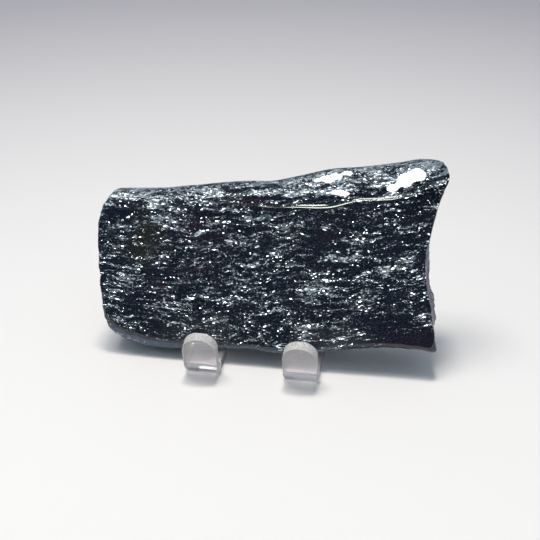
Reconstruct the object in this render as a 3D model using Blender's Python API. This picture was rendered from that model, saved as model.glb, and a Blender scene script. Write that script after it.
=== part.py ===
"""A polished slab of specular hematite that leans on a small easel of bent clear acrylic.

Two separate pieces: the stone, one solid, and the easel, one strip of sheet that is bent three
times. X runs along the slab's width, its polished face looks towards -Y and leans back, +Z is up.
The origin is on the floor, under the middle of the whole object.
"""
import math

import bmesh
import bpy
import numpy as np

MM = 0.001
GAP = 0.0003

# The easel: a clear sheet, bent into two toes, two ledges, a back rest and a rear leg
SHEET = 0.003
BEND_INSIDE = 0.002
BEND = BEND_INSIDE + SHEET / 2
STAND_WIDTH = 0.0375
TOE_WIDTH = 0.0095
SLOT_HALF = STAND_WIDTH / 2 - TOE_WIDTH
TOE_LENGTH = 0.0106
TOE_LEAN = math.radians(15)
LEDGE_FRONT = 0.0015
REST_LENGTH = 0.0335
SLOT_UP_THE_REST = 0.003
LEG_SPREAD = math.radians(19)
BEND_BULGE = 0.00045
BEND_STEPS = 8
TIP_STEPS = 6
TIP_START = math.radians(12)

# The stone: its own axes are u along the slab, v up its face, w out of its face
LEAN = math.radians(16)
THICKNESS = 0.0175
BACK_ROUND = 0.0018
FOOT = np.array([0.0, 0.005, 0.0034])
CENTRE = np.array([2.0, 25.0]) * MM
COLUMNS = 120
FACE_RINGS = (0.16, 0.32, 0.46, 0.58, 0.69, 0.78, 0.86, 0.93, 1.0)
EDGE_STEPS = 6
WALL_STEPS = 4
BACK_RINGS = (0.9, 0.6, 0.3)
UNDERSIDE = (0.006, 0.012)
TOP = (0.040, 0.044)
RIGHT_SIDE = (0.040, 0.044)
TOP_FALL = 0.0008
SMOOTH_BELOW = math.radians(35)

# The slab's outline in millimetres, clockwise from the upper left corner. Each station has the
# widest point of the edge (u, v), the end of the polished face beside it (u, v), how far the
# edge lies behind the face, and how far out the back edge lies beyond it along u.
STATIONS = (
    (-45.8, 40.9, -44.9, 38.4, 2.8, 0.3),
    (-43.5, 44.6, -42.4, 38.8, 6.8, 0.0),
    (-40.0, 44.9, -38.8, 38.6, 7.5, 0.0),
    (-32.5, 45.4, -31.8, 39.2, 8.0, 0.0),
    (-19.0, 47.3, -17.6, 41.3, 8.0, 0.0),
    (-6.0, 49.1, -4.6, 42.9, 8.0, 0.0),
    (1.5, 49.6, 2.6, 42.6, 8.0, 0.0),
    (9.2, 51.5, 9.6, 42.8, 8.5, 0.0),
    (17.6, 53.8, 18.8, 43.2, 9.0, 0.0),
    (26.0, 54.9, 27.0, 46.2, 9.0, 0.0),
    (36.6, 56.8, 36.9, 47.3, 9.0, 0.0),
    (44.4, 58.3, 43.6, 49.6, 7.5, 0.0),
    (49.2, 57.5, 47.8, 51.7, 5.0, 0.0),
    (50.7, 54.7, 49.2, 51.2, 2.6, 0.0),
    (49.8, 51.0, 49.0, 49.6, 1.4, 0.1),
    (48.6, 47.2, 48.2, 46.7, 1.0, 0.2),
    (47.7, 43.2, 47.3, 43.0, 0.8, 0.2),
    (47.0, 39.0, 46.7, 38.9, 0.6, 0.3),
    (46.1, 33.5, 45.8, 33.5, 0.6, 0.8),
    (46.2, 28.5, 45.9, 28.5, 0.6, 0.8),
    (47.2, 23.0, 46.9, 23.0, 0.6, 0.5),
    (48.5, 17.5, 48.2, 17.6, 0.6, 0.7),
    (49.5, 12.8, 49.1, 13.0, 0.7, 0.5),
    (50.2, 8.6, 49.8, 9.3, 0.9, -0.4),
    (50.8, 5.7, 49.2, 7.1, 1.7, -1.0),
    (47.0, 5.4, 46.6, 7.0, 2.0, -0.4),
    (40.5, 5.7, 40.6, 7.2, 2.2, 0.0),
    (29.5, 4.5, 29.6, 6.1, 2.2, 0.0),
    (19.8, 2.9, 20.0, 4.6, 2.4, 0.0),
    (12.0, 0.8, 12.0, 3.0, 2.4, 0.0),
    (4.0, 1.1, 4.1, 2.9, 2.4, 0.0),
    (-3.5, 1.7, -3.4, 3.1, 2.2, 0.0),
    (-9.0, 1.1, -8.8, 3.0, 2.4, 0.0),
    (-18.0, 0.85, -18.0, 3.0, 2.6, 0.0),
    (-23.0, -0.2, -22.6, 2.6, 3.2, 0.0),
    (-33.0, -0.3, -32.2, 3.1, 4.0, 0.0),
    (-39.2, 1.1, -37.9, 4.5, 4.0, 0.0),
    (-43.5, 3.8, -42.2, 6.8, 3.4, 0.0),
    (-45.3, 8.4, -44.4, 9.8, 2.4, 0.2),
    (-46.2, 15.5, -45.7, 15.9, 1.5, 0.4),
    (-46.9, 26.0, -46.5, 26.0, 1.2, 0.4),
    (-47.0, 36.4, -46.5, 35.6, 1.2, 0.4),
)

# Swells and hollows of the polished front, in millimetres: middle (u, v), reach (u, v), height
FRONT_SWELLS = (
    (-20.0, 24.0, 22.0, 14.0, 0.35),
    (26.0, 20.0, 18.0, 13.0, 0.30),
    (6.0, 34.0, 14.0, 8.0, -0.25),
    (28.0, 51.5, 7.0, 2.6, -0.55),
    (14.0, 49.5, 6.0, 2.2, -0.35),
    (43.0, 53.5, 5.0, 3.0, 0.35),
)

# Shell-shaped hollows of the broken right side: middle (v, depth behind the face), reach, depth
RIGHT_SCOOPS = (
    (34.0, 6.0, 7.0, 5.0, 0.9),
    (21.0, 11.0, 6.0, 5.0, 0.8),
    (44.0, 12.0, 5.0, 4.0, 0.5),
    (12.0, 5.0, 4.0, 3.5, 0.5),
)


def material(name, colour, roughness, metallic, transmission=0.0):
    mat = bpy.data.materials.new(name)
    mat.use_nodes = True
    shader = mat.node_tree.nodes["Principled BSDF"]
    shader.inputs["Base Color"].default_value = (*colour, 1.0)
    shader.inputs["Roughness"].default_value = roughness
    shader.inputs["Metallic"].default_value = metallic
    shader.inputs["Transmission Weight"].default_value = transmission
    mat.diffuse_color = (*colour, 1.0)
    return mat


def closed_curve(values, knots, at):
    """Smooth closed curves through the rows of values, which lie at the knots, read at `at`."""
    count = len(values)
    ahead = np.roll(values, -1, axis=0)
    step = np.roll(knots, -1) - knots
    step[-1] += 1.0
    slope = (ahead - values) / step[:, None]
    slope_before = np.roll(slope, 1, axis=0)
    step_before = np.roll(step, 1)
    tangent = (slope * step_before[:, None] + slope_before * step[:, None])
    tangent /= (step + step_before)[:, None]
    index = np.searchsorted(knots, at % 1.0, side="right") - 1
    after = (index + 1) % count
    t = ((at % 1.0 - knots[index]) / step[index])[:, None]
    span = step[index][:, None]
    return ((2 * t**3 - 3 * t**2 + 1) * values[index] + (t**3 - 2 * t**2 + t) * span * tangent[index]
            + (3 * t**2 - 2 * t**3) * values[after] + (t**3 - t**2) * span * tangent[after])


def outline(columns):
    """The stations' values in metres, read at equal steps along the edge."""
    stations = np.array(STATIONS) * MM
    chord = np.linalg.norm(np.roll(stations[:, :2], -1, axis=0) - stations[:, :2], axis=1)
    knots = np.concatenate(([0.0], np.cumsum(chord)[:-1])) / chord.sum()
    return closed_curve(stations, knots, np.arange(columns) / columns)


def ramp(value, limits):
    """0 below the lower limit, 1 above the upper one, and a straight climb between them."""
    return np.clip((value - limits[0]) / (limits[1] - limits[0]), 0.0, 1.0)


def swells(across, up, table):
    """Adds up rounded swells or hollows, each with a middle, a reach and a height."""
    total = np.zeros_like(across)
    for middle_a, middle_b, reach_a, reach_b, height in table:
        away = np.hypot((across / MM - middle_a) / reach_a, (up / MM - middle_b) / reach_b)
        total += height * MM * np.exp(-away**2)
    return total


def stone_rings(columns):
    """Rings of points (u, v, w) from the middle of the face, round the edge, to the back."""
    rows = outline(columns)
    edge = rows[:, 0:2]
    face = rows[:, 2:4]
    depth = rows[:, 4]
    wall_end = THICKNESS - BACK_ROUND
    back = edge.copy()
    back[:, 0] += rows[:, 5]
    # The underside is level, so it climbs the leaning slab towards the back
    back[:, 1] += (1 - ramp(edge[:, 1], UNDERSIDE)) * (wall_end - depth) * math.tan(LEAN)
    back[:, 1] -= ramp(edge[:, 1], TOP) * TOP_FALL

    rings = []
    for share in FACE_RINGS:
        uv = CENTRE + (face - CENTRE) * share
        rings.append(np.column_stack((uv, swells(*uv.T, FRONT_SWELLS))))
    for step in range(1, EDGE_STEPS + 1):
        angle = math.pi / 2 * step / EDGE_STEPS
        uv = face + (edge - face) * math.sin(angle)
        swell = swells(*uv.T, FRONT_SWELLS) * math.cos(angle)
        rings.append(np.column_stack((uv, swell - depth * (1 - math.cos(angle)))))
    for step in range(1, WALL_STEPS + 1):
        share = step / WALL_STEPS
        uv = edge + (back - edge) * share
        w = -(depth + (wall_end - depth) * share)
        scoop = swells(uv[:, 1], -w, RIGHT_SCOOPS) * ramp(uv[:, 0], RIGHT_SIDE)
        uv[:, 0] -= scoop * (1 - share**4)
        rings.append(np.column_stack((uv, w)))
    inward = CENTRE - back
    inward /= np.linalg.norm(inward, axis=1)[:, None]
    for angle in (math.pi / 4, math.pi / 2):
        uv = back + inward * BACK_ROUND * (1 - math.cos(angle))
        w = np.full(columns, -wall_end - BACK_ROUND * math.sin(angle))
        rings.append(np.column_stack((uv, w)))
    flat = rings[-1]
    for share in BACK_RINGS:
        uv = CENTRE + (flat[:, :2] - CENTRE) * share
        rings.append(np.column_stack((uv, flat[:, 2])))
    return rings


def stone_to_world(points):
    """Leans the stone's own axes back over the ledge."""
    u, v, w = points.T
    across = FOOT[0] + u
    along = FOOT[1] + v * math.sin(LEAN) - w * math.cos(LEAN)
    height = FOOT[2] + v * math.cos(LEAN) + w * math.sin(LEAN)
    return np.column_stack((across, along, height))


def make_stone():
    rings = stone_rings(COLUMNS)
    front = np.array([[*CENTRE, swells(*CENTRE, FRONT_SWELLS)]])
    back = np.array([[*CENTRE, -THICKNESS]])
    points = stone_to_world(np.concatenate([front, *rings, back]))
    faces = []
    last = len(points) - 1
    for i in range(COLUMNS):
        j = (i + 1) % COLUMNS
        faces.append((0, 1 + j, 1 + i))
        for ring in range(len(rings) - 1):
            a = 1 + ring * COLUMNS
            b = a + COLUMNS
            faces.append((a + i, a + j, b + j, b + i))
        start = 1 + (len(rings) - 1) * COLUMNS
        faces.append((last, start + i, start + j))
    return add_object("hematite_slab", points, faces, STONE_MATERIAL)


def bend_path(legs):
    """The middle line of the bent sheet as (length, start y, z, heading, turn) pieces."""
    pieces = []
    y, z, heading = 0.0, 0.0, -math.pi / 2 + TOE_LEAN
    for length, turn in legs:
        pieces.append((length, y, z, heading, turn))
        if turn == 0.0:
            y += length * math.cos(heading)
            z += length * math.sin(heading)
        else:
            radius = length / turn
            y += radius * (math.sin(heading + turn) - math.sin(heading))
            z -= radius * (math.cos(heading + turn) - math.cos(heading))
            heading += turn
    return pieces


def path_point(pieces, distance, offset):
    """The place at a distance along the sheet and an offset towards the stone's side of it."""
    for length, y, z, heading, turn in pieces:
        if distance <= length + 1e-9:
            break
        distance -= length
    if turn == 0.0:
        y += distance * math.cos(heading)
        z += distance * math.sin(heading)
        now = heading
    else:
        radius = length / turn
        now = heading + turn * distance / length
        y += radius * (math.sin(now) - math.sin(heading))
        z -= radius * (math.cos(now) - math.cos(heading))
    return y - offset * math.sin(now), z + offset * math.cos(now), now


def bend_bulge(pieces, distance):
    """How far bending has pushed out the sheet's edges on the stone's side, at a distance."""
    for length, _, _, _, turn in pieces:
        if distance <= length:
            break
        distance -= length
    if turn == 0.0:
        return 0.0
    return math.copysign(BEND_BULGE, turn) * math.sin(math.pi * distance / length)


def stand_layout():
    """Works out the sheet's pieces from the stone that it has to hold."""
    back = THICKNESS + GAP
    climb = (SHEET - FOOT[2] + back * math.sin(LEAN)) / math.cos(LEAN)
    corner = FOOT[1] + climb * math.sin(LEAN) + back * math.cos(LEAN)
    rest_turn = math.pi / 2 - LEAN
    ledge_end = corner - BEND_INSIDE * math.tan(rest_turn / 2)
    toe_turn = math.pi / 2 - TOE_LEAN
    fold_turn = math.pi - LEAN - LEG_SPREAD
    legs = [
        (TOE_LENGTH, 0.0),
        (BEND * toe_turn, toe_turn),
        (ledge_end - LEDGE_FRONT, 0.0),
        (BEND * rest_turn, rest_turn),
        (REST_LENGTH, 0.0),
        (BEND * fold_turn, -fold_turn),
    ]
    pieces = bend_path(legs)
    ledge_y, ledge_z = pieces[2][1], pieces[2][2]
    shift_y = LEDGE_FRONT - ledge_y
    shift_z = SHEET / 2 - ledge_z
    pieces = [(length, y + shift_y, z + shift_z, h, t) for length, y, z, h, t in pieces]
    # The rear leg runs from the fold straight down to the floor
    total = sum(piece[0] for piece in pieces)
    y, z, heading = path_point(pieces, total, 0.0)
    pieces.append((z / -math.sin(heading), y, z, heading, 0.0))
    return pieces


def stand_rows(pieces):
    """Distances along the sheet, with each toe's outer and inner reach from its middle line."""
    starts = np.concatenate(([0.0], np.cumsum([piece[0] for piece in pieces])))
    half = TOE_WIDTH / 2
    middle = STAND_WIDTH / 2 - half
    rows = []
    for step in range(TIP_STEPS + 1):
        angle = TIP_START + (math.pi / 2 - TIP_START) * step / TIP_STEPS
        reach = half * math.sin(angle)
        rows.append((half * (1 - math.cos(angle)), middle + reach, middle - reach))
    outer = STAND_WIDTH / 2
    for bend in (1, 3):
        for step in range(BEND_STEPS + 1):
            rows.append((starts[bend] + pieces[bend][0] * step / BEND_STEPS, outer, SLOT_HALF))
    for step in range(BEND_STEPS + 1):
        angle = math.pi / 2 * step / BEND_STEPS
        distance = starts[4] + SLOT_UP_THE_REST + SLOT_HALF * math.sin(angle)
        inner = SLOT_HALF * math.cos(angle) if step < BEND_STEPS else 0.0
        rows.append((distance, outer, inner))
    for step in range(2 * BEND_STEPS + 1):
        rows.append((starts[5] + pieces[5][0] * step / (2 * BEND_STEPS), outer, 0.0))
    rows.append((starts[7], outer, 0.0))
    return rows


def make_stand():
    pieces = stand_layout()
    rows = stand_rows(pieces)
    leg_heading = pieces[-1][3]
    points = []
    faces = []
    for side in (-1, 1):
        first = len(points)
        for distance, outer, inner in rows:
            bulge = bend_bulge(pieces, distance)
            for offset, grow in ((SHEET / 2, bulge), (-SHEET / 2, -bulge)):
                y, z, _ = path_point(pieces, distance, offset)
                if distance == rows[-1][0]:
                    # The rear leg's end is cut level with the floor
                    y -= z / math.tan(leg_heading)
                    z = 0.0
                reach_in = inner - grow if inner > 0.0 else 0.0
                points.append((side * (outer + grow), y, z))
                points.append((side * reach_in, y, z))
        count = len(rows)
        for row in range(count - 1):
            a = first + 4 * row
            b = a + 4
            quads = [(a, b, b + 1, a + 1), (a + 2, a + 3, b + 3, b + 2), (a, a + 2, b + 2, b)]
            if rows[row][2] > 0.0:
                quads.append((a + 1, b + 1, b + 3, a + 3))
            faces += quads if side > 0 else [quad[::-1] for quad in quads]
        end = first + 4 * (count - 1)
        caps = [(first, first + 1, first + 3, first + 2), (end, end + 2, end + 3, end + 1)]
        faces += caps if side > 0 else [cap[::-1] for cap in caps]
    return add_object("display_stand", points, faces, STAND_MATERIAL)


def add_object(name, points, faces, mat):
    mesh = bpy.data.meshes.new(name)
    mesh.from_pydata([tuple(point) for point in points], [], faces)
    bm = bmesh.new()
    bm.from_mesh(mesh)
    bmesh.ops.remove_doubles(bm, verts=bm.verts, dist=1e-6)
    bmesh.ops.recalc_face_normals(bm, faces=bm.faces)
    bm.to_mesh(mesh)
    bm.free()
    mesh.materials.append(mat)
    mesh.shade_smooth()
    mesh.set_sharp_from_angle(angle=SMOOTH_BELOW)
    obj = bpy.data.objects.new(name, mesh)
    bpy.context.scene.collection.objects.link(obj)
    return obj


def centre_on_floor(objects):
    """Moves the meshes so that the origin is on the floor under the middle of the whole."""
    corners = np.array([vertex.co[:] for obj in objects for vertex in obj.data.vertices])
    middle = (corners.min(axis=0) + corners.max(axis=0)) / 2
    for obj in objects:
        for vertex in obj.data.vertices:
            vertex.co.x -= middle[0]
            vertex.co.y -= middle[1]


for old in list(bpy.data.objects):
    bpy.data.objects.remove(old)

STONE_MATERIAL = material("specular_hematite", (0.035, 0.045, 0.06), 0.18, 0.4)
STAND_MATERIAL = material("clear_acrylic", (0.85, 0.86, 0.88), 0.08, 0.0, transmission=0.9)

centre_on_floor([make_stone(), make_stand()])
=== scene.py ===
"""The looks of a polished specular hematite slab that leans on a small clear acrylic stand.

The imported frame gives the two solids. Each is replaced by a finer mesh of the same form, worked
out from the same measures: the stone with its polished front, ground shoulder, broken sides and
sawn back, the stand with its rounded, frosted edges. Then come the materials, floor, lights and
camera. Lengths are metres, apart from the tables and shader coordinates that say millimetres.
"""
import math
from collections import namedtuple

import bmesh
import bpy
import numpy as np
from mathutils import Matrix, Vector, noise


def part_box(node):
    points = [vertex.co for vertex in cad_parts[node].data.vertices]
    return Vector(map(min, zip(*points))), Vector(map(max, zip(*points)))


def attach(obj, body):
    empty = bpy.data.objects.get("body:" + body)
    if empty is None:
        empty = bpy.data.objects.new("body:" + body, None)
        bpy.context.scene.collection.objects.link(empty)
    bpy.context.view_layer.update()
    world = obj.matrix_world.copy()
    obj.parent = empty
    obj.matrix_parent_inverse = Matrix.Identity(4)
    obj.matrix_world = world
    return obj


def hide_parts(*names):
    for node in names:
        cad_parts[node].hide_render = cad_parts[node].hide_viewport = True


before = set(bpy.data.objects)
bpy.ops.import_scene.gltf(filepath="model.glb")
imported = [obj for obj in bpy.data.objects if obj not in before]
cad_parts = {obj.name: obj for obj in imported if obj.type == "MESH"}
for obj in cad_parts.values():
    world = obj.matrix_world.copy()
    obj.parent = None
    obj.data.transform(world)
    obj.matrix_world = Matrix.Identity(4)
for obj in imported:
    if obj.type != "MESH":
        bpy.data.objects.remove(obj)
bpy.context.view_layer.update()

MM = 0.001

# The stand: a clear sheet, bent into two toes, two ledges, a back rest and a rear leg
SHEET = 0.003
BEND_INSIDE = 0.002
BEND = BEND_INSIDE + SHEET / 2
STAND_WIDTH = 0.0375
TOE_WIDTH = 0.0095
SLOT_HALF = STAND_WIDTH / 2 - TOE_WIDTH
TOE_LENGTH = 0.0106
TOE_LEAN = math.radians(15)
LEDGE_FRONT = 0.0015
REST_LENGTH = 0.0335
SLOT_UP_THE_REST = 0.003
LEG_SPREAD = math.radians(19)
BEND_BULGE = 0.00045
BEND_STEPS = 20
TIP_STEPS = 24
TIP_START = math.radians(12)
EDGE_ROUND = 0.00035
EDGE_ROUND_STEPS = 3
EDGE_ANGLE = math.radians(50)
# The room between the stone's back and the stand's back rest
GAP = 0.0003
# The ledges' edges are clear too, up to this height and back to this y
CLEAR_BELOW = 0.0045
CLEAR_BACK = 0.030
# The sheet's pieces behind its toes, as places in the list that stand_layout makes
TOE_BEND, LEDGE, LEDGE_BEND, REST, FOLD, LEG = range(1, 7)
# The stand's material slots
CLEAR, FROSTED = range(2)

# The stone: its own axes are u along the slab, v up its face, w out of its face
LEAN = math.radians(16)
THICKNESS = 0.0175
BACK_ROUND = 0.0018
SIDES_END = THICKNESS - BACK_ROUND
FOOT = np.array([0.0, 0.005, 0.0034])
CENTRE = np.array([2.0, 25.0]) * MM
COLUMNS = 560
FACE_STEPS = 40
FACE_CROWDING = 0.62
EDGE_STEPS = 34
SIDE_STEPS = 24
ROUND_STEPS = 5
BACK_STEPS = 16
# Where the underside ends along v, and where the top along v and the right side along u begin
UNDERSIDE = (0.006, 0.012)
TOP = (0.040, 0.044)
RIGHT_SIDE = (0.040, 0.044)
TOP_FALL = 0.0008
# Chips along the edge, up to CHIP_TOP along v and again from CHIP_CORNER along u
CHIP_TOP = (0.0440, 0.0485)
CHIP_CORNER = (0.0470, 0.0495)
CHIP_REACH = 0.00022
CHIP_SIZE = 0.0026
SMALL_CHIP_SIZE = 0.0009
SMALL_CHIP_SHARE = 0.6
# Hollows and lumps of the two broken sides, which begin and are complete at these u
BROKEN_SIDES = ((0.041, 0.046), (-0.041, -0.046))
BROKEN_REACH = 0.0007
BROKEN_START = (0, 4)
LUMP_SIZE = 0.005
SMALL_LUMP_SIZE = 0.0015
SMALL_LUMP_SHARE = 0.35

# The slab's outline in millimetres, clockwise from the upper left corner. Each station has the
# widest point of the edge (u, v), the end of the polished face beside it (u, v), how far the
# edge lies behind the face, and how far out the back edge lies beyond it along u.
STATIONS = (
    (-45.8, 40.9, -44.9, 38.4, 2.8, 0.3),
    (-43.5, 44.6, -42.4, 38.8, 6.8, 0.0),
    (-40.0, 44.9, -38.8, 38.6, 7.5, 0.0),
    (-32.5, 45.4, -31.8, 39.2, 8.0, 0.0),
    (-19.0, 47.3, -17.6, 41.3, 8.0, 0.0),
    (-6.0, 49.1, -4.6, 42.9, 8.0, 0.0),
    (1.5, 49.6, 2.6, 42.6, 8.0, 0.0),
    (9.2, 51.5, 9.6, 42.8, 8.5, 0.0),
    (17.6, 53.8, 18.8, 43.2, 9.0, 0.0),
    (26.0, 54.9, 27.0, 46.2, 9.0, 0.0),
    (36.6, 56.8, 36.9, 47.3, 9.0, 0.0),
    (44.4, 58.3, 43.6, 49.6, 7.5, 0.0),
    (49.2, 57.5, 47.8, 51.7, 5.0, 0.0),
    (50.7, 54.7, 49.2, 51.2, 2.6, 0.0),
    (49.8, 51.0, 49.0, 49.6, 1.4, 0.1),
    (48.6, 47.2, 48.2, 46.7, 1.0, 0.2),
    (47.7, 43.2, 47.3, 43.0, 0.8, 0.2),
    (47.0, 39.0, 46.7, 38.9, 0.6, 0.3),
    (46.1, 33.5, 45.8, 33.5, 0.6, 0.8),
    (46.2, 28.5, 45.9, 28.5, 0.6, 0.8),
    (47.2, 23.0, 46.9, 23.0, 0.6, 0.5),
    (48.5, 17.5, 48.2, 17.6, 0.6, 0.7),
    (49.5, 12.8, 49.1, 13.0, 0.7, 0.5),
    (50.2, 8.6, 49.8, 9.3, 0.9, -0.4),
    (50.8, 5.7, 49.2, 7.1, 1.7, -1.0),
    (47.0, 5.4, 46.6, 7.0, 2.0, -0.4),
    (40.5, 5.7, 40.6, 7.2, 2.2, 0.0),
    (29.5, 4.5, 29.6, 6.1, 2.2, 0.0),
    (19.8, 2.9, 20.0, 4.6, 2.4, 0.0),
    (12.0, 0.8, 12.0, 3.0, 2.4, 0.0),
    (4.0, 1.1, 4.1, 2.9, 2.4, 0.0),
    (-3.5, 1.7, -3.4, 3.1, 2.2, 0.0),
    (-9.0, 1.1, -8.8, 3.0, 2.4, 0.0),
    (-18.0, 0.85, -18.0, 3.0, 2.6, 0.0),
    (-23.0, -0.2, -22.6, 2.6, 3.2, 0.0),
    (-33.0, -0.3, -32.2, 3.1, 4.0, 0.0),
    (-39.2, 1.1, -37.9, 4.5, 4.0, 0.0),
    (-43.5, 3.8, -42.2, 6.8, 3.4, 0.0),
    (-45.3, 8.4, -44.4, 9.8, 2.4, 0.2),
    (-46.2, 15.5, -45.7, 15.9, 1.5, 0.4),
    (-46.9, 26.0, -46.5, 26.0, 1.2, 0.4),
    (-47.0, 36.4, -46.5, 35.6, 1.2, 0.4),
)

# Swells and hollows of the polished front, in millimetres: middle (u, v), reach (u, v), height
FRONT_SWELLS = (
    (-20.0, 24.0, 22.0, 14.0, 0.35),
    (26.0, 20.0, 18.0, 13.0, 0.30),
    (6.0, 34.0, 14.0, 8.0, -0.25),
    (28.0, 51.5, 7.0, 2.6, -0.55),
    (14.0, 49.5, 6.0, 2.2, -0.35),
    (43.0, 53.5, 5.0, 3.0, 0.35),
)

# Shell-shaped hollows of the broken right side: middle (v, depth behind the face), reach, depth
RIGHT_SCOOPS = (
    (34.0, 6.0, 7.0, 5.0, 0.9),
    (21.0, 11.0, 6.0, 5.0, 0.8),
    (44.0, 12.0, 5.0, 4.0, 0.5),
    (12.0, 5.0, 4.0, 3.5, 0.5),
)


def closed_curve(values, knots, at):
    """Smooth closed curves through the rows of values, which lie at the knots, read at `at`."""
    count = len(values)
    ahead = np.roll(values, -1, axis=0)
    step = np.roll(knots, -1) - knots
    step[-1] += 1.0
    slope = (ahead - values) / step[:, None]
    slope_before = np.roll(slope, 1, axis=0)
    step_before = np.roll(step, 1)
    tangent = slope * step_before[:, None] + slope_before * step[:, None]
    tangent /= (step + step_before)[:, None]
    index = np.searchsorted(knots, at % 1.0, side="right") - 1
    after = (index + 1) % count
    t = ((at % 1.0 - knots[index]) / step[index])[:, None]
    span = step[index][:, None]
    return ((2 * t**3 - 3 * t**2 + 1) * values[index] + (t**3 - 2 * t**2 + t) * span * tangent[index]
            + (3 * t**2 - 2 * t**3) * values[after] + (t**3 - t**2) * span * tangent[after])


def outline():
    """The stations' values in metres, read at equal steps along the edge."""
    stations = np.array(STATIONS) * MM
    chord = np.linalg.norm(np.roll(stations[:, :2], -1, axis=0) - stations[:, :2], axis=1)
    knots = np.concatenate(([0.0], np.cumsum(chord)[:-1])) / chord.sum()
    return closed_curve(stations, knots, np.arange(COLUMNS) / COLUMNS)


def ramp(value, limits):
    """0 below the lower limit, 1 above the upper one, and a straight climb between them."""
    return np.clip((value - limits[0]) / (limits[1] - limits[0]), 0.0, 1.0)


def swells(across, up, table):
    """Adds up rounded swells or hollows, each with a middle, a reach and a height."""
    total = np.zeros_like(across)
    for middle_a, middle_b, reach_a, reach_b, height in table:
        away = np.hypot((across / MM - middle_a) / reach_a, (up / MM - middle_b) / reach_b)
        total += height * MM * np.exp(-away**2)
    return total


def roughness(points, size, seed):
    """Smooth noise between about -1 and 1 at each point, with lumps of about `size` metres."""
    shift = Vector((seed * 17.3, seed * 5.1, seed * 9.7))
    return np.array([noise.fractal(Vector(point) / size + shift, 0.9, 2.0, 3) for point in points])


def chipped(rows):
    """Chips the outline along the broken sides and the underside, but not the polished top."""
    edge = rows[:, 0:2]
    away = edge - CENTRE
    away /= np.linalg.norm(away, axis=1)[:, None]
    points = np.column_stack((edge, np.zeros(len(edge))))
    worn = np.maximum(1 - ramp(edge[:, 1], CHIP_TOP), ramp(edge[:, 0], CHIP_CORNER))
    reach = CHIP_REACH * worn
    lumps = roughness(points, CHIP_SIZE, 1)
    lumps += SMALL_CHIP_SHARE * roughness(points, SMALL_CHIP_SIZE, 2)
    chips = reach * (lumps - 0.5)
    rows[:, 0:2] += away * chips[:, None]
    rows[:, 2:4] += away * chips[:, None]
    return rows


def back_edge(rows):
    """Where the stone's sides end at the back."""
    edge = rows[:, 0:2]
    back = edge.copy()
    back[:, 0] += rows[:, 5]
    # The underside is level, so it climbs the leaning slab towards the back
    back[:, 1] += (1 - ramp(edge[:, 1], UNDERSIDE)) * (SIDES_END - rows[:, 4]) * math.tan(LEAN)
    back[:, 1] -= ramp(edge[:, 1], TOP) * TOP_FALL
    return back


def face_rings(face):
    """Rings from the middle of the polished face to its end."""
    rings = []
    for step in range(1, FACE_STEPS + 1):
        share = (step / FACE_STEPS) ** FACE_CROWDING
        uv = CENTRE + (face - CENTRE) * share
        rings.append(np.column_stack((uv, swells(*uv.T, FRONT_SWELLS))))
    return rings


def edge_rings(face, edge, depth):
    """Rings over the rounded shoulder and bevel, a quarter turn from the face to the sides."""
    rings = []
    for step in range(1, EDGE_STEPS + 1):
        angle = math.pi / 2 * step / EDGE_STEPS
        uv = face + (edge - face) * math.sin(angle)
        swell = swells(*uv.T, FRONT_SWELLS) * math.cos(angle)
        rings.append(np.column_stack((uv, swell - depth * (1 - math.cos(angle)))))
    return rings


def side_rings(edge, back, depth, inward):
    """Rings along the sides, with the hollows and lumps of the broken ones."""
    rings = []
    broken = sum(ramp(edge[:, 0], limits) for limits in BROKEN_SIDES)
    for step in range(1, SIDE_STEPS + 1):
        share = step / SIDE_STEPS
        uv = edge + (back - edge) * share
        w = -(depth + (SIDES_END - depth) * share)
        scoop = swells(uv[:, 1], -w, RIGHT_SCOOPS) * ramp(uv[:, 0], RIGHT_SIDE)
        uv[:, 0] -= scoop * (1 - share**4)
        ring = np.column_stack((uv, w))
        lumps = roughness(ring, LUMP_SIZE, 3)
        lumps += SMALL_LUMP_SHARE * roughness(ring, SMALL_LUMP_SIZE, 4)
        hollows = BROKEN_REACH * broken * np.clip(0.4 + lumps, 0, 2) * ramp(step, BROKEN_START)
        ring[:, 0:2] += inward * hollows[:, None]
        rings.append(ring)
    return rings


def back_rings(edge, inward):
    """Rings over the rounded back edge, then over the flat back to its middle."""
    rings = []
    for step in range(1, ROUND_STEPS + 1):
        angle = math.pi / 2 * step / ROUND_STEPS
        uv = edge + inward * BACK_ROUND * (1 - math.cos(angle))
        w = np.full(len(edge), -SIDES_END - BACK_ROUND * math.sin(angle))
        rings.append(np.column_stack((uv, w)))
    flat = rings[-1]
    for step in range(1, BACK_STEPS):
        uv = CENTRE + (flat[:, :2] - CENTRE) * (1 - step / BACK_STEPS)
        rings.append(np.column_stack((uv, flat[:, 2])))
    return rings


def stone_rings():
    """Rings of points (u, v, w) from the middle of the face, round the edge, to the back."""
    rows = chipped(outline())
    edge = rows[:, 0:2]
    face = rows[:, 2:4]
    depth = rows[:, 4]
    back = back_edge(rows)
    inward = CENTRE - back
    inward /= np.linalg.norm(inward, axis=1)[:, None]
    sides = side_rings(edge, back, depth, inward)
    return face_rings(face) + edge_rings(face, edge, depth) + sides + back_rings(sides[-1][:, 0:2], inward)


def stone_to_world(points):
    """Leans the stone's own axes back over the ledge."""
    u, v, w = points.T
    across = FOOT[0] + u
    along = FOOT[1] + v * math.sin(LEAN) - w * math.cos(LEAN)
    height = FOOT[2] + v * math.cos(LEAN) + w * math.sin(LEAN)
    return np.column_stack((across, along, height))


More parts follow.
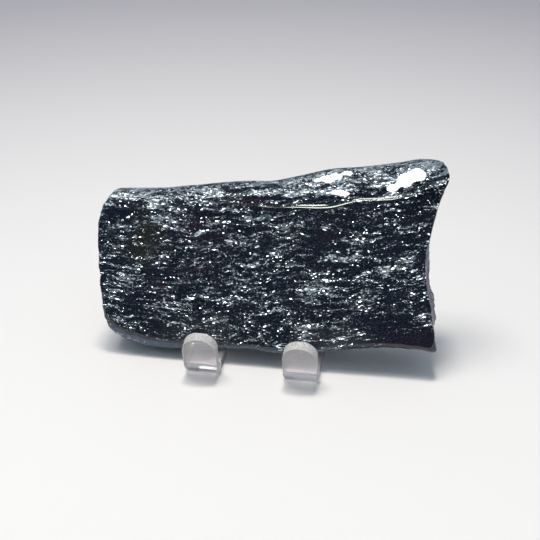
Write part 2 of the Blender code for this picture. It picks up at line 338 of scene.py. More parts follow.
def bend_path(legs):
    """The middle line of the bent sheet as (length, start y, z, heading, turn) pieces."""
    pieces = []
    y, z, heading = 0.0, 0.0, -math.pi / 2 + TOE_LEAN
    for length, turn in legs:
        pieces.append((length, y, z, heading, turn))
        if turn == 0.0:
            y += length * math.cos(heading)
            z += length * math.sin(heading)
        else:
            radius = length / turn
            y += radius * (math.sin(heading + turn) - math.sin(heading))
            z -= radius * (math.cos(heading + turn) - math.cos(heading))
            heading += turn
    return pieces


def path_point(pieces, distance, offset):
    """The place at a distance along the sheet and an offset towards the stone's side of it,
    with the sheet's heading there."""
    for length, y, z, heading, turn in pieces:
        if distance <= length + 1e-9:
            break
        distance -= length
    if turn == 0.0:
        y += distance * math.cos(heading)
        z += distance * math.sin(heading)
        now = heading
    else:
        radius = length / turn
        now = heading + turn * distance / length
        y += radius * (math.sin(now) - math.sin(heading))
        z -= radius * (math.cos(now) - math.cos(heading))
    return y - offset * math.sin(now), z + offset * math.cos(now), now


def bend_bulge(pieces, distance):
    """How far bending has pushed out the sheet's edges on the stone's side, at a distance."""
    for length, _, _, _, turn in pieces:
        if distance <= length:
            break
        distance -= length
    if turn == 0.0:
        return 0.0
    return math.copysign(BEND_BULGE, turn) * math.sin(math.pi * distance / length)


def stand_layout():
    """Works out the sheet's pieces from the stone that it has to hold."""
    back = THICKNESS + GAP
    climb = (SHEET - FOOT[2] + back * math.sin(LEAN)) / math.cos(LEAN)
    corner = FOOT[1] + climb * math.sin(LEAN) + back * math.cos(LEAN)
    rest_turn = math.pi / 2 - LEAN
    ledge_end = corner - BEND_INSIDE * math.tan(rest_turn / 2)
    toe_turn = math.pi / 2 - TOE_LEAN
    fold_turn = math.pi - LEAN - LEG_SPREAD
    legs = [
        (TOE_LENGTH, 0.0),
        (BEND * toe_turn, toe_turn),
        (ledge_end - LEDGE_FRONT, 0.0),
        (BEND * rest_turn, rest_turn),
        (REST_LENGTH, 0.0),
        (BEND * fold_turn, -fold_turn),
    ]
    pieces = bend_path(legs)
    _, ledge_y, ledge_z, _, _ = pieces[LEDGE]
    shift_y = LEDGE_FRONT - ledge_y
    shift_z = SHEET / 2 - ledge_z
    pieces = [(length, y + shift_y, z + shift_z, h, t) for length, y, z, h, t in pieces]
    # The rear leg runs from the fold straight down to the floor
    total = sum(piece[0] for piece in pieces)
    y, z, heading = path_point(pieces, total, 0.0)
    pieces.append((z / -math.sin(heading), y, z, heading, 0.0))
    return pieces


def stand_rows(pieces):
    """Distances along the sheet, with how far each half's two edges lie from the middle."""
    starts = np.concatenate(([0.0], np.cumsum([piece[0] for piece in pieces])))
    outer = STAND_WIDTH / 2
    half = TOE_WIDTH / 2
    middle = outer - half
    rows = []
    for step in range(TIP_STEPS + 1):
        angle = TIP_START + (math.pi / 2 - TIP_START) * step / TIP_STEPS
        reach = half * math.sin(angle)
        rows.append((half * (1 - math.cos(angle)), middle + reach, middle - reach))
    for bend in (TOE_BEND, LEDGE_BEND):
        for step in range(BEND_STEPS + 1):
            rows.append((starts[bend] + pieces[bend][0] * step / BEND_STEPS, outer, SLOT_HALF))
    for step in range(BEND_STEPS + 1):
        angle = math.pi / 2 * step / BEND_STEPS
        distance = starts[REST] + SLOT_UP_THE_REST + SLOT_HALF * math.sin(angle)
        inner = SLOT_HALF * math.cos(angle) if step < BEND_STEPS else 0.0
        rows.append((distance, outer, inner))
    for step in range(2 * BEND_STEPS + 1):
        rows.append((starts[FOLD] + pieces[FOLD][0] * step / (2 * BEND_STEPS), outer, 0.0))
    rows.append((starts[-1], outer, 0.0))
    return rows


def closed_form(points, faces, slots=None):
    """A bmesh of one closed body in the frame's place, with its normals out."""
    mesh = bpy.data.meshes.new("form")
    mesh.from_pydata([tuple(point + ORIGIN) for point in points], [], faces)
    if slots:
        mesh.polygons.foreach_set("material_index", slots)
    bm = bmesh.new()
    bm.from_mesh(mesh)
    bpy.data.meshes.remove(mesh)
    bmesh.ops.remove_doubles(bm, verts=bm.verts, dist=1e-6)
    bmesh.ops.recalc_face_normals(bm, faces=bm.faces)
    return bm


def add_object(name, bm, *materials):
    mesh = bpy.data.meshes.new(name)
    bm.to_mesh(mesh)
    bm.free()
    for mat in materials:
        mesh.materials.append(mat)
    mesh.shade_smooth()
    obj = bpy.data.objects.new(name, mesh)
    bpy.context.scene.collection.objects.link(obj)
    return obj


def make_stone(mat):
    rings = stone_rings()
    front = np.array([[*CENTRE, swells(*CENTRE, FRONT_SWELLS)]])
    back = np.array([[*CENTRE, -THICKNESS]])
    points = stone_to_world(np.concatenate([front, *rings, back]))
    faces = []
    last = len(points) - 1
    for i in range(COLUMNS):
        j = (i + 1) % COLUMNS
        faces.append((0, 1 + j, 1 + i))
        for ring in range(len(rings) - 1):
            a = 1 + ring * COLUMNS
            b = a + COLUMNS
            faces.append((a + i, a + j, b + j, b + i))
        start = 1 + (len(rings) - 1) * COLUMNS
        faces.append((last, start + i, start + j))
    return add_object("hematite_stone", closed_form(points, faces), mat)


def sheet_points(pieces, rows, side):
    """Four points of one half for each row: outer and inner, first on the stone's side."""
    points = []
    for distance, outer, inner in rows:
        bulge = bend_bulge(pieces, distance)
        for offset, grow in ((SHEET / 2, bulge), (-SHEET / 2, -bulge)):
            y, z, _ = path_point(pieces, distance, offset)
            if distance == rows[-1][0]:
                # The rear leg's end is cut level with the floor
                y -= z / math.tan(pieces[LEG][3])
                z = 0.0
            reach_in = inner - grow if inner > 0.0 else 0.0
            points.append((side * (outer + grow), y, z))
            points.append((side * reach_in, y, z))
    return points


def sheet_faces(rows, first):
    """The faces between one half's points, counted from `first`, and their material slots."""
    faces = []
    slots = []
    last = first + 4 * (len(rows) - 1)
    for a, (_, _, inner) in zip(range(first, last, 4), rows):
        b = a + 4
        faces += [(a, b, b + 1, a + 1), (a + 2, a + 3, b + 3, b + 2), (a, a + 2, b + 2, b)]
        slots += [CLEAR, CLEAR, FROSTED]
        if inner > 0.0:
            faces.append((a + 1, b + 1, b + 3, a + 3))
            slots.append(FROSTED)
    faces += [(first, first + 1, first + 3, first + 2), (last, last + 2, last + 3, last + 1)]
    slots += [FROSTED, FROSTED]
    return faces, slots


def make_stand(clear, frosted):
    """The bent sheet: its two wide faces stay clear, and its sawn edges are frosted."""
    pieces = stand_layout()
    rows = stand_rows(pieces)
    points = []
    faces = []
    slots = []
    for side in (-1, 1):
        half_faces, half_slots = sheet_faces(rows, len(points))
        faces += half_faces
        slots += half_slots
        points += sheet_points(pieces, rows, side)
    bm = closed_form(np.array(points), faces, slots)
    sharp = [edge for edge in bm.edges if edge.calc_face_angle(0.0) > EDGE_ANGLE]
    bmesh.ops.bevel(bm, geom=sharp, offset=EDGE_ROUND, offset_type="OFFSET", affect="EDGES",
                    segments=EDGE_ROUND_STEPS, profile=0.5, clamp_overlap=True, material=FROSTED)
    for face in bm.faces:
        place = face.calc_center_median()
        if LEDGE_FRONT < place.y - ORIGIN[1] < CLEAR_BACK and place.z < CLEAR_BELOW:
            face.material_index = CLEAR
    stand = add_object("acrylic_stand", bm, clear, frosted)
    stand.modifiers.new("weighted normals", "WEIGHTED_NORMAL")
    return stand


class Nodes:
    """Short ways to add nodes to a shader tree. A socket takes a plain value or an output."""

    def __init__(self, tree):
        self.tree = tree

    def node(self, kind, inputs, **settings):
        made = self.tree.nodes.new(kind)
        for name, value in settings.items():
            setattr(made, name, value)
        for key, value in inputs.items():
            self.feed(made.inputs[key], value)
        return made

    def feed(self, socket, value):
        if isinstance(value, bpy.types.NodeSocket):
            self.tree.links.new(value, socket)
        elif socket.type == "RGBA":
            socket.default_value = (*value, 1.0)
        else:
            socket.default_value = value

    def math(self, operation, a, b=0.0):
        return self.node("ShaderNodeMath", {0: a, 1: b}, operation=operation).outputs[0]

    def vector(self, operation, a, b=(0.0, 0.0, 0.0)):
        made = self.node("ShaderNodeVectorMath", {0: a, 1: b}, operation=operation)
        return made.outputs["Value" if operation in ("LENGTH", "DISTANCE", "DOT_PRODUCT") else "Vector"]

    def scaled(self, vector, by):
        return self.node("ShaderNodeVectorMath", {0: vector, "Scale": by}, operation="SCALE").outputs[0]

    def swung(self, colour, reach):
        """Turns a colour, its shares 0 to 1, into a vector that swings about 0 and is `reach` wide."""
        return self.scaled(self.vector("SUBTRACT", colour, (0.5, 0.5, 0.5)), reach)

    def axes(self, vector):
        return self.node("ShaderNodeSeparateXYZ", {"Vector": vector}).outputs

    def between(self, value, low, high, to_low=0.0, to_high=1.0):
        """Smooth step of a value from one range to another."""
        inputs = {"Value": value, "From Min": low, "From Max": high, "To Min": to_low,
                  "To Max": to_high}
        made = self.node("ShaderNodeMapRange", inputs, interpolation_type="SMOOTHSTEP")
        return made.outputs["Result"]

    def noise(self, at, scale=1.0, detail=2.0, rough=0.5):
        inputs = {"Vector": at, "Scale": scale, "Detail": detail, "Roughness": rough}
        return self.node("ShaderNodeTexNoise", inputs).outputs

    def mix(self, share, a, b):
        """Mixes two colours. In this node they are inputs 6 and 7 and output 2."""
        return self.node("ShaderNodeMix", {"Factor": share, 6: a, 7: b}, data_type="RGBA").outputs[2]


class Shader(Nodes):
    """The nodes of one new material."""

    def __init__(self, name):
        self.material = bpy.data.materials.new(name)
        self.material.use_nodes = True
        super().__init__(self.material.node_tree)

    def place(self):
        """The shaded point in the object's own coordinates, which are metres."""
        return self.node("ShaderNodeTexCoord", {}).outputs["Object"]

    def set(self, **values):
        """Feeds the surface shader: Base_Color is its socket Base Color."""
        surface = self.tree.nodes["Principled BSDF"]
        for name, value in values.items():
            self.feed(surface.inputs[name.replace("_", " ")], value)


# Where the plates crowd or thin out on the polished face, and where the ground is tinted, in
# millimetres: middle (u, v), reach (u, v) and strength of each patch
PATCH_DEPTH = 14.0
CROWDED = (
    (-1.0, 39.5, 7.0, 3.0, 0.16),
    (9.5, 39.5, 6.0, 2.6, 0.13),
    (17.5, 38.8, 7.0, 2.4, 0.14),
    (28.0, 40.5, 5.0, 2.0, 0.12),
    (5.0, 34.2, 5.0, 2.4, 0.12),
    (21.5, 31.0, 7.0, 3.0, 0.16),
    (37.0, 28.0, 6.5, 2.4, 0.22),
    (42.0, 30.5, 4.5, 2.4, 0.20),
    (40.5, 24.0, 5.0, 2.2, 0.18),
    (6.0, 22.5, 6.0, 2.8, 0.14),
    (15.0, 18.5, 3.5, 3.5, 0.14),
    (-5.5, 17.0, 4.0, 3.0, 0.12),
    (-18.5, 13.5, 6.0, 2.6, 0.10),
    (-13.0, 9.0, 5.0, 3.0, 0.10),
    (14.0, 8.0, 5.0, 3.5, 0.10),
    (-23.0, 36.5, 4.5, 2.4, 0.14),
    (-24.0, 43.0, 22.0, 3.4, 0.14),
)
SPARSE = (
    (43.5, 5.5, 18.0, 10.0, 0.95),
    (31.5, 53.5, 11.0, 4.5, 0.24),
    (-34.0, 11.0, 12.0, 4.0, 0.16),
    (28.0, 13.5, 12.0, 3.6, 0.20),
    (35.0, 34.0, 11.0, 2.2, 0.18),
    (17.0, 35.6, 10.0, 2.2, 0.14),
    (21.0, 25.5, 7.0, 3.0, 0.12),
    (-33.0, 31.5, 9.0, 9.0, 0.12),
    (-2.0, 13.5, 8.0, 3.0, 0.08),
    (4.0, 45.6, 11.0, 1.8, 0.16),
)
BROWN = (
    (-32.5, 32.5, 9.0, 10.0, 1.0),
    (-34.5, 27.5, 6.0, 8.0, 0.7),
)
PURPLE = (
    (-18.0, 36.0, 11.0, 6.0, 1.0),
    (-17.0, 25.0, 7.0, 4.5, 0.9),
    (-29.0, 18.0, 4.5, 5.0, 0.9),
    (-3.0, 44.2, 13.0, 2.2, 1.0),
    (18.0, 36.0, 7.0, 2.4, 0.8),
    (-9.0, 32.5, 6.0, 2.6, 0.6),
    (44.0, 6.0, 16.0, 9.0, 1.0),
)

# Polished flats that mirror the lamp over the stone, and where the polish is dull, as patches
FLATS = (
    (14.2, 50.9, 2.0, 1.0, 1.0),
    (17.0, 51.5, 3.2, 1.7, 1.0),
    (19.8, 52.3, 3.2, 1.6, 1.0),
    (22.8, 53.4, 3.0, 1.2, 1.0),
    (35.4, 50.4, 2.6, 1.8, 1.0),
    (38.6, 52.6, 3.8, 3.2, 1.0),
    (42.0, 54.4, 3.8, 2.8, 1.0),
    (21.7, 48.2, 4.2, 1.2, 1.0),
)
DULLED = (
    (43.0, 50.0, 9.0, 7.0, 2.0),
)

# The plates: how large one's cell is along u, depth and v in millimetres, and how far it is turned
SMALL_PLATES = ((0.74, 0.62, 0.26), 0.04)
LONG_PLATES = ((1.35, 1.00, 0.32), 0.10)
LONG_LACK = 0.10
PLATE_SPREAD = 0.35
PLATE_SOFTNESS = 0.02
FINE_SIZE = (0.32, 0.32, 0.15)
FINE_CROWDING = 0.35
FINE_LIMITS = (0.66, 0.74)
FINE_STRENGTH = 0.65
PLATE_COLOUR = (0.86, 0.95, 1.0)
PLATE_DARKEST = 0.30
PLATE_TILT = 0.8
SHARED_TILT = 2.3
SHARED_SIZE = (2.6, 2.4, 1.4)
PLATE_LEAN = (0.0, 0.0, 0.25)

# The bands that the plates lie in: size in millimetres, detail, and weight in the fill. The fill
# is how much of its cell a plate takes.
BANDS = (
    ((11.0, 8.0, 1.5), 3.0, 1.8),
    ((2.6, 2.2, 0.7), 2.0, 1.2),
    ((26.0, 20.0, 8.0), 1.0, 0.35),
)
BANDS_LEVEL = 1.68
BAND_CLIMB = 0.105
BAND_CURVE = 0.0011
BAND_WAVERS = ((0.06, 3.0), (0.25, 0.7), (0.9, 0.22))
# More plates on the shoulder: painted light that makes the upturned top lighter
SHOULDER_DEPTH = (0.1, 2.0)
SHOULDER_PAINTED_LIGHT = 0.27
GLASSY_LACK = 0.42
SAWN_LACK = 0.26
BEVEL_LACK = 0.26

# Where the sides begin and where they are complete, in millimetres of u, v or depth
RIGHT_U = (42.0, 44.0)
RIGHT_V = (50.0, 46.0)
LEFT_U = (-42.0, -44.5)
ENDS_DEPTH = (0.1, 0.5)
UNDER_V = (7.0, 4.5)
UNDER_DEPTH = (0.02, 0.10)
BEVEL_U = (30.0, 12.0)
SAWN_DEPTH = (15.0, 16.4)
Sides = namedtuple("Sides", "broken glassy bevel sawn")
RAGGED_SCALE = 0.3
RAGGED_REACH = 6.0

# Colours of the ground between the plates and of the sides
NAVY = (0.0030, 0.0055, 0.014)
PALER_NAVY = (0.007, 0.011, 0.020)
BLOTCH_SIZE = (7.0, 7.0, 3.0)
BLOTCH_LIMITS = (0.40, 0.66)
PURPLE_COLOUR = (0.017, 0.009, 0.019)
BROWN_COLOUR = (0.021, 0.018, 0.014)
HAZE_COLOUR = (0.060, 0.085, 0.110)
HAZE_SIZE = (0.7, 0.7, 0.3)
HAZE_LIMITS = (0.45, 0.72)
HAZE_STRENGTH = 0.35
BROKEN_COLOUR = (0.030, 0.044, 0.070)
# The underside bevel's blue-grey is partly its paler ground finish and partly painted shade: the bluish
# tone of the shadowed floor below it
BEVEL_AND_PAINTED_SHADE_COLOUR = (0.145, 0.178, 0.225)
# Painted sheen: the glassy right side's pale violet-grey and its pale lines stand in for its gloss
GLASSY_COLOUR_AND_SHEEN = (0.14, 0.135, 0.17)
GLASSY_PAINTED_SHEEN_LINES = (0.50, 0.48, 0.56)
GLASSY_SIZE = (9.0, 1.3, 8.0)
GLASSY_LIMITS = (0.38, 0.70)
SAWN_COLOUR = (0.030, 0.034, 0.042)

# Relief of the sides in millimetres. The saw's marks are waves round a point far off.
BREAK_SIZE = (1.4, 2.2, 2.8)
BREAK_HEIGHT = 1.1
SAW_MIDDLE = (-140.0, THICKNESS / MM, -60.0)
SAW_MARKS = 5.5
SAW_HEIGHT = 0.02

# The polish. The flats face the lamp over the stone, whatever way the shoulder turns.
POLISH_DEPTH = (0.14, 0.45)
SHOULDER_POLISH = 0.03
FLAT_LIMITS = (0.30, 0.42)
FLAT_FACING = (-0.122, -0.603, 0.790)
FLAT_FORCE = 40.0
BLOT_SCALE = 0.8
STONE_ROUGHNESS = (0.24, 0.45)
STONE_IOR = 1.55
POLISH_IOR = 1.6


def stone_coordinates(shader):
    """The stone's own u, depth behind the face and v at each point, in millimetres."""
    inputs = {"Vector": shader.place(), "Location": tuple(ORIGIN + FOOT),
              "Rotation": (-LEAN, 0.0, 0.0), "Scale": (MM, MM, MM)}
    return shader.node("ShaderNodeMapping", inputs, vector_type="TEXTURE").outputs["Vector"]


def patch(shader, at, middle, reach):
    """1 at the middle of an ellipse and 0 past its reach."""
    away = shader.vector("DIVIDE", shader.vector("SUBTRACT", at, middle), reach)
    return shader.between(shader.vector("LENGTH", away), 1.0, 0.0)


def patches(shader, at, table):
    """The patches of a table in one mask."""
    total = 0.0
    for u, v, reach_u, reach_v, strength in table:
        one = patch(shader, at, (u, 0.0, v), (reach_u, PATCH_DEPTH, reach_v))
        total = shader.math("ADD", shader.math("MULTIPLY", one, strength), total)
    return total


def swing(shader, at, scale, reach):
    """Noise that swings to `reach` either way."""
    fac = shader.noise(at, scale, 2.0)["Fac"]
    return shader.math("MULTIPLY", shader.math("SUBTRACT", fac, 0.5), 2.0 * reach)


def layered_coordinates(shader, at):
    """Bends the coordinates along the layers of plates, which climb to the right and waver."""
    u, depth, v = shader.axes(at)
    steepness = shader.math("ADD", shader.math("MULTIPLY", u, BAND_CURVE), BAND_CLIMB)
    waver = 0.0
    for scale, reach in BAND_WAVERS:
        waver = shader.math("ADD", waver, swing(shader, at, scale, reach))
    rise = shader.math("ADD", shader.math("MULTIPLY", u, steepness), waver)
    level = shader.math("SUBTRACT", v, rise)
    return shader.node("ShaderNodeCombineXYZ", {0: u, 1: depth, 2: level}).outputs[0]


def streaks(shader, layered, size, detail=2.0):
    """Noise drawn out along the layers, with lumps of about the size in millimetres."""
    return shader.noise(shader.vector("DIVIDE", layered, size), 1.0, detail, 0.55)["Fac"]


def stone_sides(shader, at, ragged):
    """Masks of all broken sides, the glassy right one, the bevel of the underside, the back."""
    u, _, v = shader.axes(ragged)
    depth = shader.axes(at)[1]
    right = shader.math("MULTIPLY", shader.between(u, *RIGHT_U), shader.between(v, *RIGHT_V))
    left = shader.between(u, *LEFT_U)
    under = shader.math("MULTIPLY", shader.between(v, *UNDER_V), shader.between(depth, *UNDER_DEPTH))
    ends = shader.math("MAXIMUM", right, left)
    ends = shader.math("MULTIPLY", ends, shader.between(depth, *ENDS_DEPTH))
    broken = shader.math("MAXIMUM", ends, under)
    glassy = shader.math("MULTIPLY", ends, right)
    bevel = shader.math("MULTIPLY", under, shader.between(u, *BEVEL_U))
    return Sides(broken, glassy, bevel, shader.between(depth, *SAWN_DEPTH))


def plate_fill(shader, layered, ragged, depth, sides):
    """How much of its cell a plate takes: more in bands, more on the shoulder as painted light, less on
    the sides.
    """
    fill = 0.0
    for size, detail, weight in BANDS:
        band = streaks(shader, layered, size, detail)
        fill = shader.math("ADD", fill, shader.math("MULTIPLY", band, weight))
    fill = shader.math("SUBTRACT", fill, BANDS_LEVEL)
    fill = shader.math("ADD", fill, patches(shader, ragged, CROWDED))
    fill = shader.math("SUBTRACT", fill, patches(shader, ragged, SPARSE))
    # Painted light: the shoulder, which faces the lamps, gets more plates and so looks lighter
    fill = shader.math("ADD", fill, shader.between(depth, *SHOULDER_DEPTH, 0.0, SHOULDER_PAINTED_LIGHT))
    for side, lack in ((sides.glassy, GLASSY_LACK), (sides.sawn, SAWN_LACK), (sides.bevel, BEVEL_LACK)):
        fill = shader.math("SUBTRACT", fill, shader.math("MULTIPLY", side, lack))
    return fill


def plate_layer(shader, at, size, turn, fill):
    """Bright plates: one in each cell of a stretched net, larger where `fill` is higher."""
    inputs = {"Vector": at, "Rotation": (0.0, turn, 0.0), "Scale": size}
    place = shader.node("ShaderNodeMapping", inputs, vector_type="TEXTURE").outputs["Vector"]
    cells = shader.node("ShaderNodeTexVoronoi", {"Vector": place, "Scale": 1.0}).outputs
    chance = shader.node("ShaderNodeSeparateColor", {"Color": cells["Color"]}).outputs
    reach = shader.math("ADD", shader.math("MULTIPLY", chance[0], PLATE_SPREAD), fill)
    inside = shader.math("SUBTRACT", reach, cells["Distance"])
    light = shader.between(chance[1], 0.0, 1.0, PLATE_DARKEST, 1.0)
    return shader.between(inside, -PLATE_SOFTNESS, PLATE_SOFTNESS), light, cells


def all_plates(shader, layered, fill):
    """The mask of small, long and fine plates, with the lightness and cells of the small ones."""
    small, light, cells = plate_layer(shader, layered, *SMALL_PLATES, fill)
    long, _, _ = plate_layer(shader, layered, *LONG_PLATES, shader.math("SUBTRACT", fill, LONG_LACK))
    fine = streaks(shader, layered, FINE_SIZE, 1.0)
    fine = shader.math("ADD", fine, shader.math("MULTIPLY", fill, FINE_CROWDING))
    fine = shader.math("MULTIPLY", shader.between(fine, *FINE_LIMITS), FINE_STRENGTH)
    plates = shader.math("MAXIMUM", small, long)
    return shader.math("MAXIMUM", plates, fine), light, cells


def ground_colour(shader, at, layered, ragged, sides):
    """Navy with its tints between the plates, and the paler sides, with painted shade on the bevel and
    painted sheen on the glassy side.
    """
    blotches = shader.between(streaks(shader, layered, BLOTCH_SIZE), *BLOTCH_LIMITS)
    ground = shader.mix(blotches, NAVY, PALER_NAVY)
    ground = shader.mix(patches(shader, ragged, PURPLE), ground, PURPLE_COLOUR)
    ground = shader.mix(patches(shader, ragged, BROWN), ground, BROWN_COLOUR)
    haze = shader.between(streaks(shader, layered, HAZE_SIZE), *HAZE_LIMITS, 0.0, HAZE_STRENGTH)
    ground = shader.mix(haze, ground, HAZE_COLOUR)
    ground = shader.mix(sides.broken, ground, BROKEN_COLOUR)
    # The bevel's blue-grey, on the left of the underside: partly paler ground finish, partly painted shade
    # of the shadowed floor
    ground = shader.mix(sides.bevel, ground, BEVEL_AND_PAINTED_SHADE_COLOUR)
    # Painted sheen on the glassy right side: pale lines over a pale violet-grey
    sheen_lines = shader.noise(shader.vector("DIVIDE", at, GLASSY_SIZE), 1.0, 3.0)["Fac"]
    glass_and_sheen = shader.mix(shader.between(sheen_lines, *GLASSY_LIMITS), GLASSY_COLOUR_AND_SHEEN, GLASSY_PAINTED_SHEEN_LINES)
    ground = shader.mix(sides.glassy, ground, glass_and_sheen)
    return shader.mix(sides.sawn, ground, SAWN_COLOUR)


def side_relief(shader, at, sides):
    """The small relief of the broken sides, and the saw's curved marks on the back."""
    breaks = shader.noise(shader.vector("DIVIDE", at, BREAK_SIZE), 1.0, 4.0, 0.6)["Fac"]
    breaks = shader.math("SUBTRACT", breaks, 0.5)
    breaks = shader.math("MULTIPLY", breaks, shader.math("MULTIPLY", sides.broken, BREAK_HEIGHT))
    marks = shader.math("MULTIPLY", shader.vector("DISTANCE", at, SAW_MIDDLE), SAW_MARKS)
    marks = shader.math("SINE", marks)
    marks = shader.math("MULTIPLY", marks, shader.math("MULTIPLY", sides.sawn, SAW_HEIGHT))
    height = shader.math("ADD", breaks, marks)
    return shader.node("ShaderNodeBump", {"Height": height, "Distance": MM}).outputs["Normal"]


def plate_normal(shader, cells, plates, relief):
    """Each plate lies its own way: some mirror the bright floor and sky, and others do not."""
    shared = shader.vector("DIVIDE", cells["Position"], SHARED_SIZE)
    shared = shader.noise(shared, 1.0, 2.0, 0.6)["Color"]
    tilt = shader.vector("ADD", shader.swung(cells["Color"], PLATE_TILT),
                         shader.swung(shared, SHARED_TILT))
    tilt = shader.vector("ADD", tilt, PLATE_LEAN)
    return shader.vector("NORMALIZE", shader.vector("ADD", relief, shader.scaled(tilt, plates)))


def stone_polish(shader, at, depth, rough_sides):
    """The clear coat's strength and the way it faces, with flats that catch the lamp whole."""
    blots = shader.swung(shader.noise(at, BLOT_SCALE, 2.0)["Color"], 1.0)
    flats = patches(shader, shader.vector("ADD", at, blots), FLATS)
    flats = shader.between(flats, *FLAT_LIMITS)
    polish = shader.between(depth, *POLISH_DEPTH, 1.0, SHOULDER_POLISH)
    polish = shader.math("SUBTRACT", polish, patches(shader, at, DULLED))
    polish = shader.math("MAXIMUM", polish, flats)
    polish = shader.math("MULTIPLY", polish, shader.math("SUBTRACT", 1.0, rough_sides))
    facing = shader.scaled(FLAT_FACING, shader.math("MULTIPLY", flats, FLAT_FORCE))
    smooth = shader.node("ShaderNodeNewGeometry", {}).outputs["Normal"]
    return polish, shader.vector("NORMALIZE", shader.vector("ADD", smooth, facing))


def stone_material():
    shader = Shader("specular_hematite")
    at = stone_coordinates(shader)
    depth = shader.axes(at)[1]
    layered = layered_coordinates(shader, at)
    wander = shader.noise(at, RAGGED_SCALE, 3.0)["Color"]
    ragged = shader.vector("ADD", at, shader.swung(wander, RAGGED_REACH))
    sides = stone_sides(shader, at, ragged)
    rough_sides = shader.math("MAXIMUM", sides.broken, sides.sawn)

    fill = plate_fill(shader, layered, ragged, depth, sides)
    plates, light, cells = all_plates(shader, layered, fill)
    ground = ground_colour(shader, at, layered, ragged, sides)
    shine = shader.mix(light, (0.0, 0.0, 0.0), PLATE_COLOUR)
    relief = side_relief(shader, at, sides)
    polish, facing = stone_polish(shader, at, depth, rough_sides)
    shader.set(Base_Color=shader.mix(plates, ground, shine), Metallic=plates,
               Roughness=shader.between(rough_sides, 0.0, 1.0, *STONE_ROUGHNESS), IOR=STONE_IOR,
               Specular_IOR_Level=0.03, Normal=plate_normal(shader, cells, plates, relief),
               Coat_Weight=polish, Coat_Roughness=0.03, Coat_IOR=POLISH_IOR, Coat_Normal=facing)
    return shader.material


# The stand's materials
ACRYLIC_IOR = 1.49
CLEAR_TINT = (0.98, 0.95, 0.97)
RUBBED_FADE = 0.002
CLEAR_ROUGHNESS = 0.03
RUBBED_ROUGHNESS = 0.15
RUBBED_CLEARNESS = 0.76
FROST_SCALE = 2600.0
FROST_DEPTH = 0.0004
FROST_DIM = (0.55, 0.55, 0.54)
FROST_BRIGHT = (0.93, 0.93, 0.92)
FROST_LIMITS = (0.35, 0.65)


def clear_material():
    """Clear sheet, a little hazy with scratches at the toes, where hands and stones rub it."""
    shader = Shader("clear_acrylic")
    front = ORIGIN[1] + LEDGE_FRONT
    rubbed = shader.between(shader.axes(shader.place())[1], front + RUBBED_FADE, front)
    shader.set(Base_Color=CLEAR_TINT, IOR=ACRYLIC_IOR,
               Roughness=shader.between(rubbed, 0.0, 1.0, CLEAR_ROUGHNESS, RUBBED_ROUGHNESS),
               Transmission_Weight=shader.between(rubbed, 0.0, 1.0, 1.0, RUBBED_CLEARNESS))
    return shader.material


def frosted_material():
    """Sawn edges: pale, finely pitted and only a little clear."""
    shader = Shader("frosted_edge")
    grain = shader.noise(shader.place(), FROST_SCALE, 2.0)["Fac"]
    pits = shader.node("ShaderNodeBump", {"Height": grain, "Distance": FROST_DEPTH, "Strength": 0.6})
    colour = shader.mix(shader.between(grain, *FROST_LIMITS), FROST_DIM, FROST_BRIGHT)
    shader.set(Base_Color=colour, Roughness=0.5, IOR=ACRYLIC_IOR, Transmission_Weight=0.30,
               Normal=pits.outputs["Normal"])
    return shader.material


# The floor's colour holds painted light falloff: palest in an oval in front of the stone, it darkens as
# painted shade from FLOOR_NEAR to FLOOR_FAR
FLOOR_REACH = 3.0
FLOOR_SEGMENTS = 96
FLOOR_DROP = 0.00005
FLOOR_PALEST = (0.0, -0.25, 0.0)
FLOOR_OVAL = (1.35, 1.0, 1.0)
FLOOR_NEAR = 0.15
FLOOR_FAR = 0.80
FLOOR_PALE = (0.88, 0.88, 0.88)
FLOOR_PAINTED_SHADE = (0.39, 0.386, 0.424)

# The world: a sky all round, and a dark room within ROOM_LIMITS of the direction ROOM_SIDE
SKY_COLOUR = (0.33, 0.38, 0.43)
ROOM_COLOUR = (0.05, 0.07, 0.11)
ROOM_SIDE = (0.0, -0.97, 0.24)
ROOM_LIMITS = (0.70, 0.92)

# Lights that fall on everything but aren't mirrored: name, place, size and power
AIM = (0.0, 0.0, 0.0)
WARM = (1.07, 1.0, 0.923)
UNMIRRORED = (
    ("key", (-0.03, 0.10, 1.20), (0.22, 0.22), 6.9),
    ("fill", (-0.32, -0.06, 1.12), (0.36, 0.36), 3.9),
)

# Lights that are only mirrored: name, place, aim, size, power and colour. The lamp makes the white
# spots near the top, the glints light single plates, and the strips make the thin double line.
UPPER_AIM = (0.02, 0.0, 0.05)
WHITE = (1.0, 1.0, 1.0)
GREENISH = (0.93, 1.0, 0.86)
MIRRORED = (
    ("lamp", (-0.095, -0.02, 0.5), UPPER_AIM, (0.11, 0.09), 0.62, WHITE),
    ("glints", (0.50, -0.60, 0.90), AIM, (0.40, 0.40), 6.5, WHITE),
    ("glints", (-0.35, 0.60, 0.75), AIM, (0.60, 0.60), 1.3, WHITE),
    ("strip", (-0.132, -1.5, 0.49), UPPER_AIM, (0.183, 0.075), 0.85, GREENISH),
    ("strip", (-0.132, -1.5, 0.70), UPPER_AIM, (0.183, 0.10), 1.25, GREENISH),
)


def floor_material():
    shader = Shader("pale_floor")
    place = shader.vector("MULTIPLY", shader.place(), FLOOR_OVAL)
    # Painted shade: the floor's colour darkens away from the palest oval, as if the light fell off
    away = shader.between(shader.vector("DISTANCE", place, FLOOR_PALEST), FLOOR_NEAR, FLOOR_FAR)
    shader.set(Base_Color=shader.mix(away, FLOOR_PALE, FLOOR_PAINTED_SHADE), Roughness=0.8)
    return shader.material


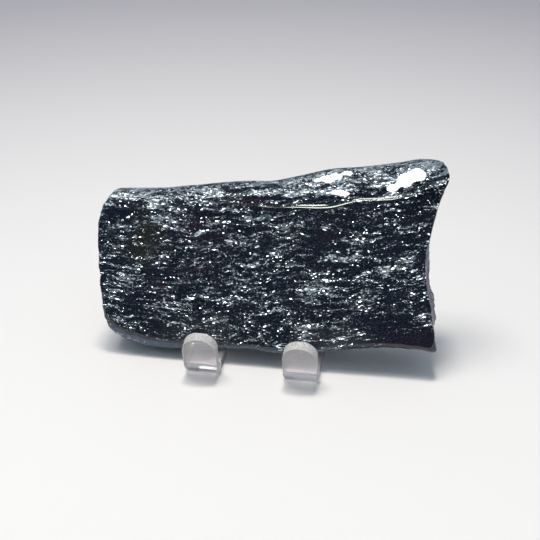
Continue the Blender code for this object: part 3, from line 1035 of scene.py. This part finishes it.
def make_floor():
    mesh = bpy.data.meshes.new("floor")
    bm = bmesh.new()
    bmesh.ops.create_circle(bm, cap_ends=True, segments=FLOOR_SEGMENTS, radius=FLOOR_REACH)
    bm.to_mesh(mesh)
    bm.free()
    mesh.materials.append(floor_material())
    floor = bpy.data.objects.new("floor", mesh)
    floor.location.z = -FLOOR_DROP
    bpy.context.scene.collection.objects.link(floor)


def area_light(name, place, aim, size, power, colour):
    data = bpy.data.lights.new(name, "AREA")
    data.shape = "RECTANGLE"
    data.size, data.size_y = size
    data.energy = power
    data.color = colour
    light = bpy.data.objects.new(name, data)
    light.location = place
    light.rotation_euler = (Vector(aim) - Vector(place)).to_track_quat("-Z", "Y").to_euler()
    bpy.context.scene.collection.objects.link(light)
    return light


def make_world():
    """A soft grey sky, and a dark room on the side that the polished face looks at."""
    world = bpy.data.worlds.new("studio")
    world.use_nodes = True
    nodes = Nodes(world.node_tree)
    direction = nodes.node("ShaderNodeTexCoord", {}).outputs["Generated"]
    facing = nodes.vector("DOT_PRODUCT", direction, ROOM_SIDE)
    colour = nodes.mix(nodes.between(facing, *ROOM_LIMITS), SKY_COLOUR, ROOM_COLOUR)
    nodes.feed(world.node_tree.nodes["Background"].inputs["Color"], colour)
    bpy.context.scene.world = world


def make_lights():
    for name, place, size, power in UNMIRRORED:
        area_light(name, place, AIM, size, power, WARM).visible_glossy = False
    for name, place, aim, size, power, colour in MIRRORED:
        area_light(name, place, aim, size, power, colour).visible_diffuse = False
    make_world()


# The camera, at the photograph's viewing angle
CAMERA_AZIMUTH = math.radians(9.5)
CAMERA_ELEVATION = math.radians(27)
CAMERA_PLACE = np.array([0.0476, -0.2538, 0.1652])
FIELD_OF_VIEW = math.radians(28)


def make_camera():
    data = bpy.data.cameras.new("camera")
    data.sensor_width = 36.0
    data.lens = data.sensor_width / 2 / math.tan(FIELD_OF_VIEW / 2)
    data.clip_start = 0.01
    camera = bpy.data.objects.new("camera", data)
    camera.location = ORIGIN + CAMERA_PLACE
    back = Vector((math.sin(CAMERA_AZIMUTH) * math.cos(CAMERA_ELEVATION),
                   -math.cos(CAMERA_AZIMUTH) * math.cos(CAMERA_ELEVATION),
                   math.sin(CAMERA_ELEVATION)))
    camera.rotation_euler = (-back).to_track_quat("-Z", "Y").to_euler()
    bpy.context.scene.collection.objects.link(camera)
    bpy.context.scene.camera = camera


def stand_origin():
    """The frame's place for this script's origin, from the middle and front of the stand's box."""
    low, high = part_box("display_stand")
    pieces = stand_layout()
    front = min(path_point(pieces, row[0], -SHEET / 2)[0] for row in stand_rows(pieces))
    return np.array([(low[0] + high[0]) / 2, low[1] - front, 0.0])


ORIGIN = stand_origin()
make_camera()
make_floor()
make_lights()

stone = make_stone(stone_material())
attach(stone, "root")
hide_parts("hematite_slab")

stand = make_stand(clear_material(), frosted_material())
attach(stand, "root")
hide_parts("display_stand")

bpy.context.scene.view_settings.view_transform = "Standard"
